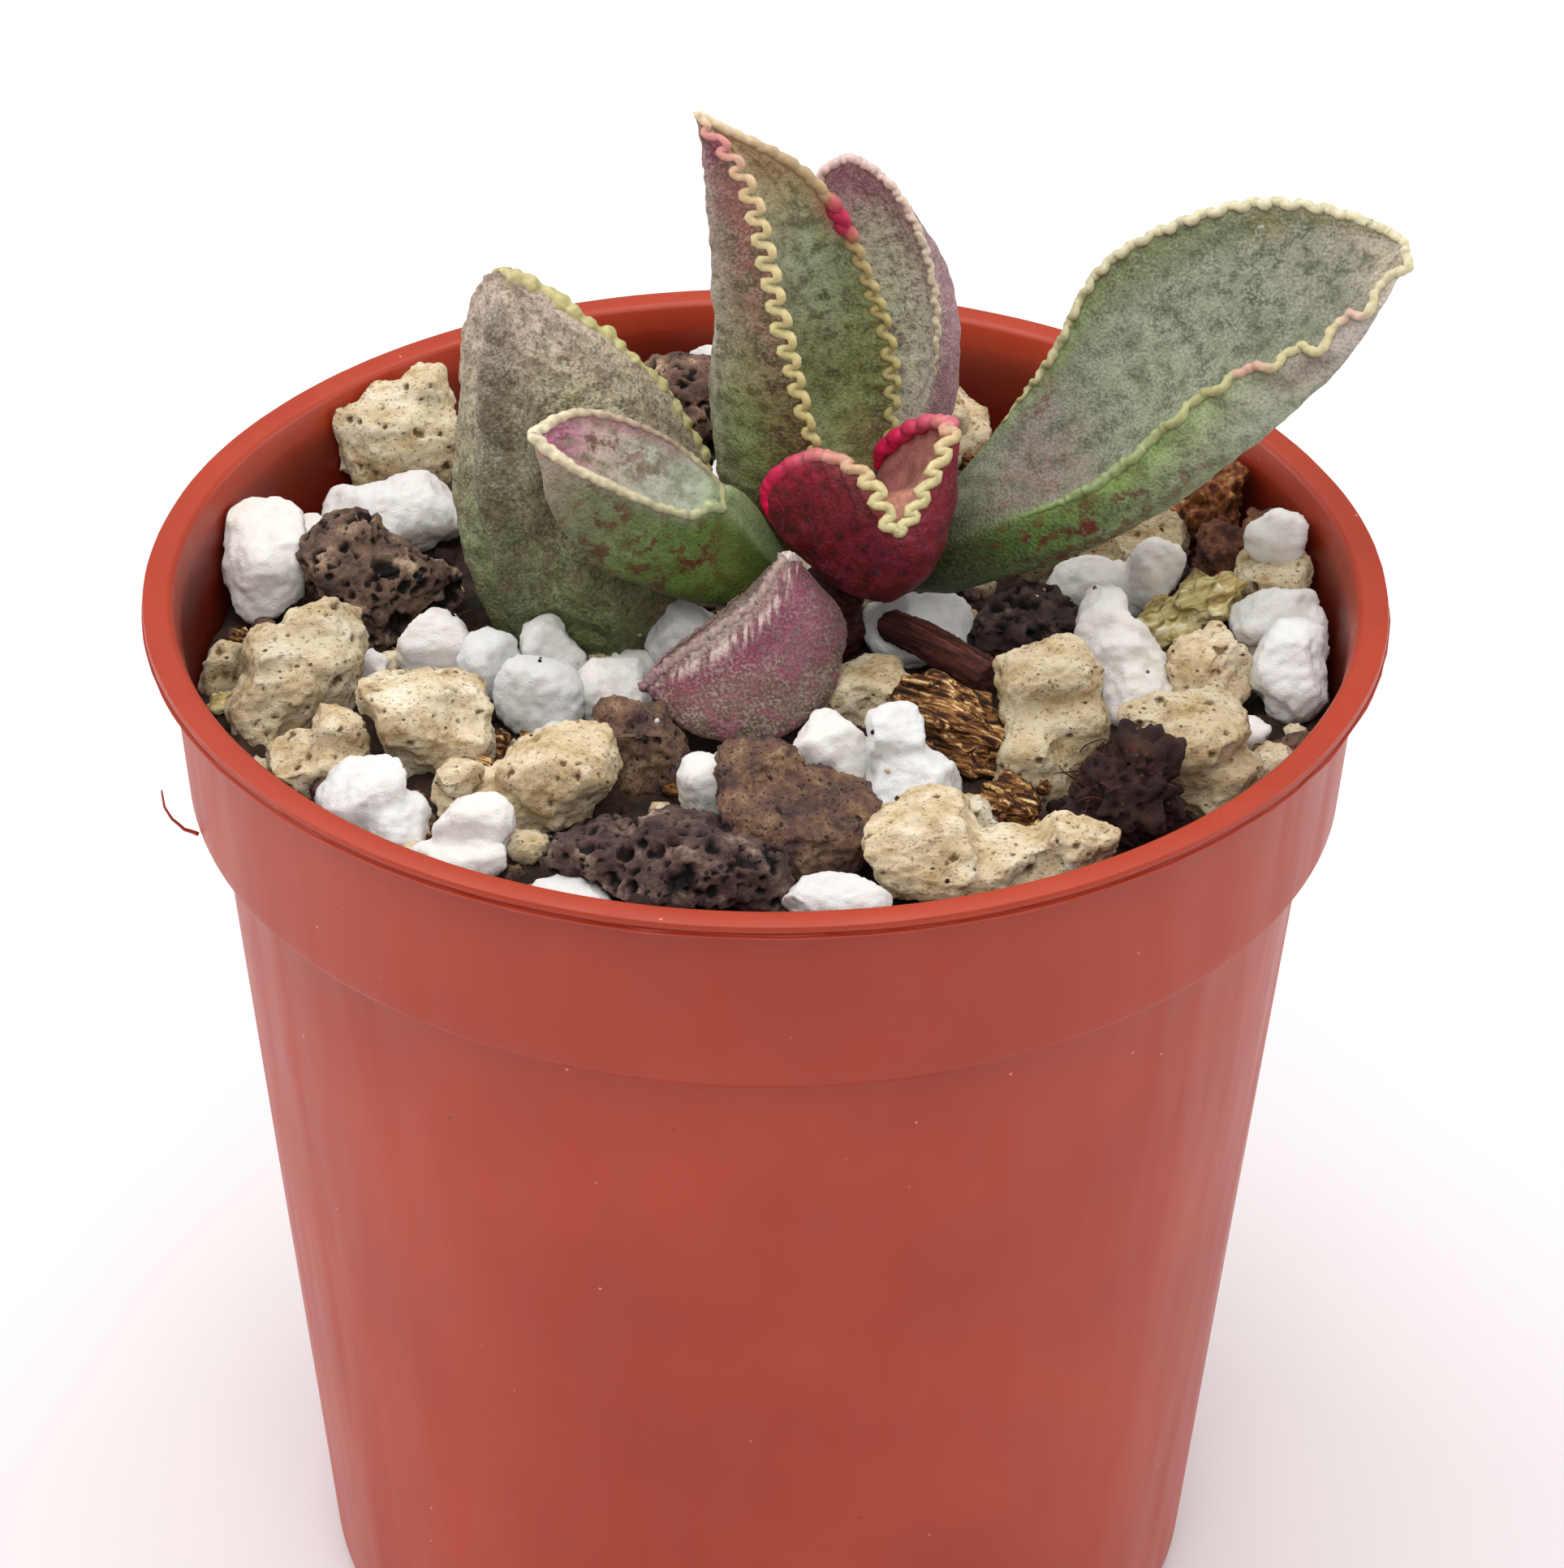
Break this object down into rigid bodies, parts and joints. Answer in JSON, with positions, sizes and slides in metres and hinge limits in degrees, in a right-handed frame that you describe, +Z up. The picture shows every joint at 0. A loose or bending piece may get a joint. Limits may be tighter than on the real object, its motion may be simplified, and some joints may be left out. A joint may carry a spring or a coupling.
{
  "type": "potted succulent",
  "caption": "Young adromischus with spotted, wavy-edged leaves, rooted in a gritty mix in a round terracotta-coloured plastic nursery pot.",
  "frame": {"origin": "middle of the pot's foot ring, on the surface that the pot stands on", "axes": "+Z up along the pot's axis; +X to the right and +Y away as seen from the front, where the longest leaf leans over the rim towards +X"},
  "size_m": [0.0552, 0.055, 0.0728],
  "materials": {
    "pot_plastic": "satin",
    "potting_mix": "matte",
    "woody_stem": "matte",
    "green_leaf": "matte",
    "grey_leaf": "matte",
    "crimson_leaf": "matte",
    "pink_leaf": "matte",
    "pumice": "matte",
    "perlite": "matte",
    "lava": "matte",
    "scoria": "matte",
    "bark": "matte",
    "flake": "satin",
    "peat": "matte"
  },
  "bodies": {
    "root": {"pot": "pot_plastic", "soil": "potting_mix", "stem": "woody_stem", "twig": "woody_stem", "leaf_tall": "green_leaf", "leaf_right": "green_leaf", "leaf_club": "green_leaf", "leaf_back": "grey_leaf", "leaf_left": "grey_leaf", "leaf_young": "crimson_leaf", "leaf_half": "pink_leaf", "pumice_1": "pumice", "pumice_2": "pumice", "pumice_3": "pumice", "pumice_4": "pumice", "pumice_5": "pumice", "pumice_6": "pumice", "pumice_7": "pumice", "pumice_8": "pumice", "pumice_9": "pumice", "pumice_10": "pumice", "pumice_11": "pumice", "pumice_12": "pumice", "pumice_13": "pumice", "pumice_14": "pumice", "pumice_15": "pumice", "pumice_16": "pumice", "perlite_1": "perlite", "perlite_2": "perlite", "perlite_3": "perlite", "perlite_4": "perlite", "perlite_5": "perlite", "perlite_6": "perlite", "perlite_7": "perlite", "perlite_8": "perlite", "perlite_9": "perlite", "perlite_10": "perlite", "perlite_11": "perlite", "perlite_12": "perlite", "perlite_13": "perlite", "perlite_14": "perlite", "perlite_15": "perlite", "perlite_16": "perlite", "perlite_17": "perlite", "perlite_18": "perlite", "perlite_19": "perlite", "perlite_20": "perlite", "perlite_21": "perlite", "lava_1": "lava", "lava_2": "lava", "lava_3": "lava", "lava_4": "lava", "lava_5": "lava", "scoria_1": "scoria", "scoria_2": "scoria", "scoria_3": "scoria", "bark_1": "bark", "bark_2": "bark", "flake_1": "flake", "peat_1": "peat"}
  },
  "joints": []
}
